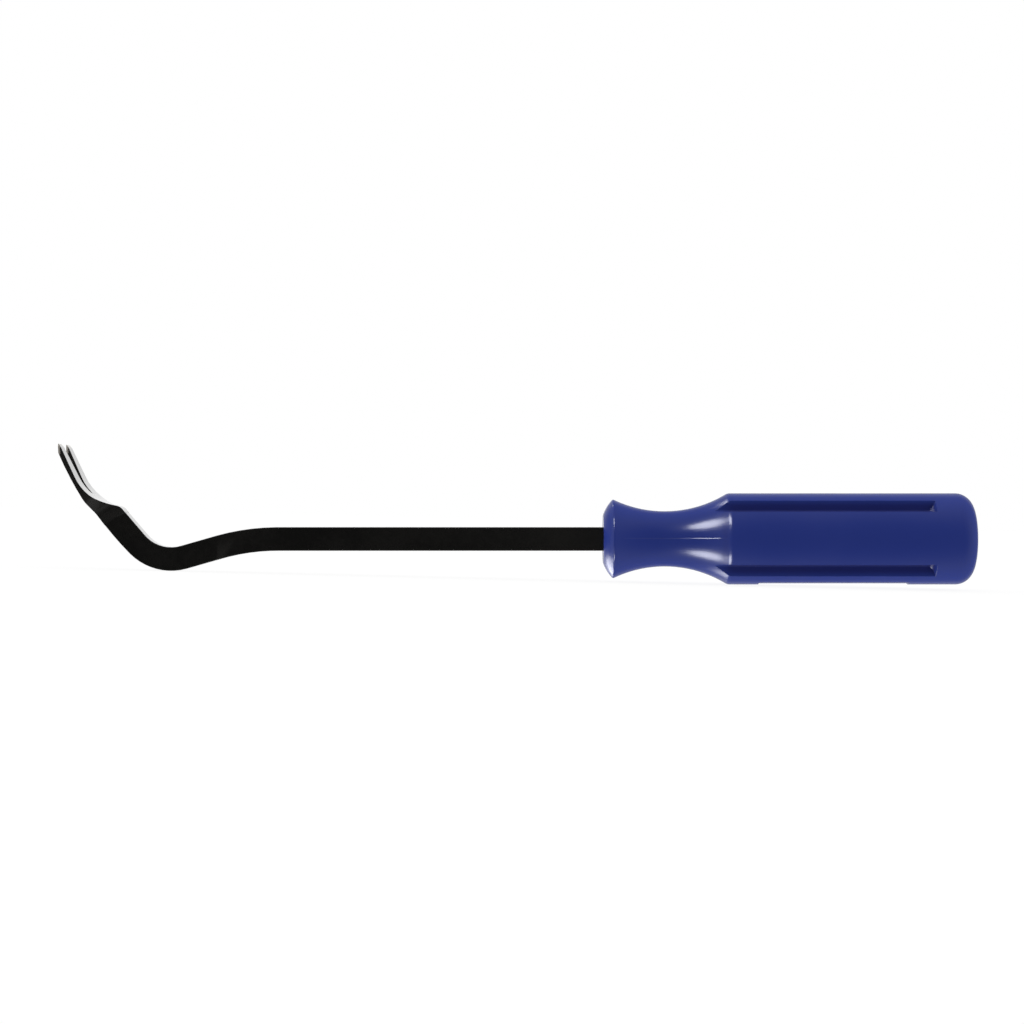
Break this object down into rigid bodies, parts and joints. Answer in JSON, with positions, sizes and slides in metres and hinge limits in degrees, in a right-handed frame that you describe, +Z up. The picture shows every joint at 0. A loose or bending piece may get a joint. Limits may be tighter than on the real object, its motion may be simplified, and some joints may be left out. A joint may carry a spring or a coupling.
{
  "type": "trim removal tool",
  "caption": "Hand pry tool: square steel bar with a cranked heel, an upturned forked claw with a V notch, and a fluted plastic handle.",
  "frame": {"origin": "on the surface that the tool lies on, under the middle of its length", "axes": "+X along the bar, towards the handle's domed end; +Y across the tool; +Z up, the way the claw turns"},
  "size_m": [0.3104, 0.031, 0.042],
  "materials": {
    "steel": "satin black oxide",
    "grip": "glossy blue, clear-looking plastic"
  },
  "bodies": {
    "root": {"shank": "steel", "handle": "grip"}
  },
  "joints": []
}
